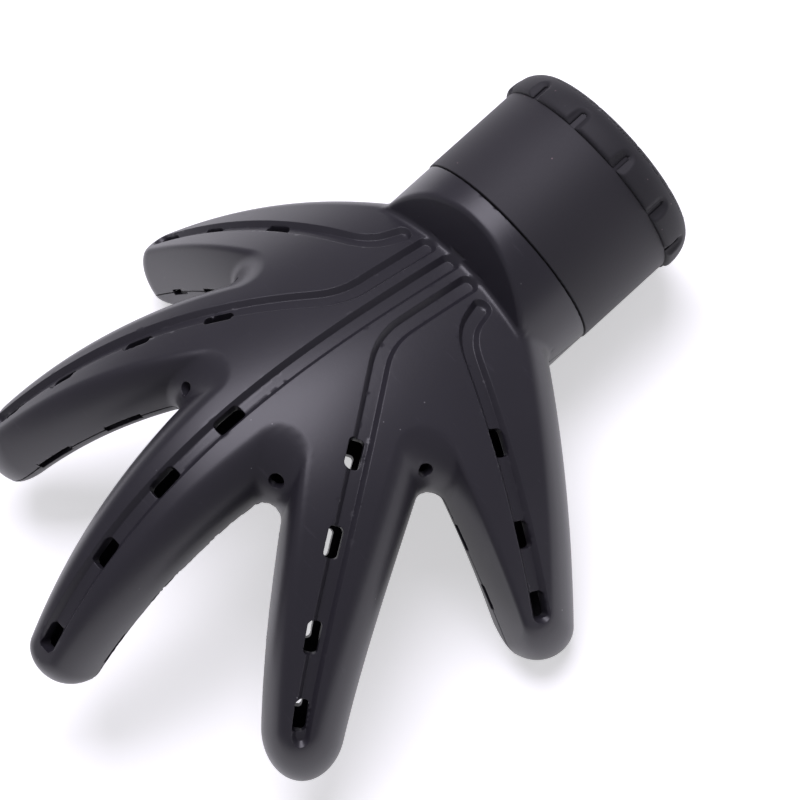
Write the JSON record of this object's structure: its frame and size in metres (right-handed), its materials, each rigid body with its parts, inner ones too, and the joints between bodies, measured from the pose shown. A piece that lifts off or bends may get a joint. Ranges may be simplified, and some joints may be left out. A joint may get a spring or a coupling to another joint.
{
  "type": "hair dryer diffuser",
  "caption": "Hollow five-finger hand-shaped hair dryer diffuser with air slots and a turning clamp collar that closes padded jaws on the dryer nozzle.",
  "frame": {"origin": "bottom centre of the bounding box, under the middle of the hand lying palm down", "axes": "+Y along the neck axis towards the fingertips, +Z out of the back of the hand, +X across the hand"},
  "size_m": [0.1702, 0.2098, 0.073],
  "materials": {
    "shell_plastic": "satin charcoal moulded plastic with a fine grain",
    "sleeve_soft_touch": "soft-touch coating, matte",
    "grip_rubber": "moulded rubber, matte",
    "nylon": "glass-filled nylon, matte",
    "bezel_plastic": "satin black plastic",
    "jaw_nylon": "glass-filled nylon, matte",
    "jaw_rubber": "heat-proof silicone rubber",
    "elastomer": "moulded elastomer",
    "spring_steel": "oiled spring steel",
    "screw_steel": "zinc-plated steel"
  },
  "bodies": {
    "hand": {"back_shell": "shell_plastic", "palm_shell": "shell_plastic", "neck_insert": "nylon", "retaining_ring": "spring_steel", "friction_ring": "elastomer", "shell_screw_1": "screw_steel", "shell_screw_2": "screw_steel", "shell_screw_3": "screw_steel", "shell_screw_4": "screw_steel", "insert_screw_1": "screw_steel", "insert_screw_2": "screw_steel"},
    "collar": {"clamp_collar": "sleeve_soft_touch", "grip_ring": "grip_rubber", "scroll_plate": "nylon", "rear_bezel": "bezel_plastic"},
    "jaw_slider_1": {"jaw_1": "jaw_nylon", "jaw_pad_1": "jaw_rubber"},
    "jaw_slider_2": {"jaw_2": "jaw_nylon", "jaw_pad_2": "jaw_rubber"},
    "jaw_slider_3": {"jaw_3": "jaw_nylon", "jaw_pad_3": "jaw_rubber"},
    "jaw_slider_4": {"jaw_4": "jaw_nylon", "jaw_pad_4": "jaw_rubber"},
    "jaw_slider_5": {"jaw_5": "jaw_nylon", "jaw_pad_5": "jaw_rubber"},
    "jaw_slider_6": {"jaw_6": "jaw_nylon", "jaw_pad_6": "jaw_rubber"}
  },
  "joints": [
    {"name": "collar_turn", "type": "hinge", "parent": "hand", "child": "collar", "pos_m": [0, -0.10485, 0.03477], "axis": [0, 1, 0], "range_deg": [-20, 24]},
    {"name": "jaw_slide_1", "type": "slide", "parent": "hand", "child": "jaw_slider_1", "axis": [0, 0, -1], "range_m": [-0.00101, 0.00121]},
    {"name": "jaw_slide_2", "type": "slide", "parent": "hand", "child": "jaw_slider_2", "axis": [0.866, 0, -0.5], "range_m": [-0.00101, 0.00121]},
    {"name": "jaw_slide_3", "type": "slide", "parent": "hand", "child": "jaw_slider_3", "axis": [0.866, 0, 0.5], "range_m": [-0.00101, 0.00121]},
    {"name": "jaw_slide_4", "type": "slide", "parent": "hand", "child": "jaw_slider_4", "axis": [0, 0, 1], "range_m": [-0.00101, 0.00121]},
    {"name": "jaw_slide_5", "type": "slide", "parent": "hand", "child": "jaw_slider_5", "axis": [-0.866, 0, 0.5], "range_m": [-0.00101, 0.00121]},
    {"name": "jaw_slide_6", "type": "slide", "parent": "hand", "child": "jaw_slider_6", "axis": [-0.866, 0, -0.5], "range_m": [-0.00101, 0.00121]}
  ],
  "couplings": [
    {"joint": "jaw_slide_1", "follows": "collar_turn", "m_per_rad": 0.0028648},
    {"joint": "jaw_slide_2", "follows": "collar_turn", "m_per_rad": 0.0028648},
    {"joint": "jaw_slide_3", "follows": "collar_turn", "m_per_rad": 0.0028648},
    {"joint": "jaw_slide_4", "follows": "collar_turn", "m_per_rad": 0.0028648},
    {"joint": "jaw_slide_5", "follows": "collar_turn", "m_per_rad": 0.0028648},
    {"joint": "jaw_slide_6", "follows": "collar_turn", "m_per_rad": 0.0028648}
  ]
}
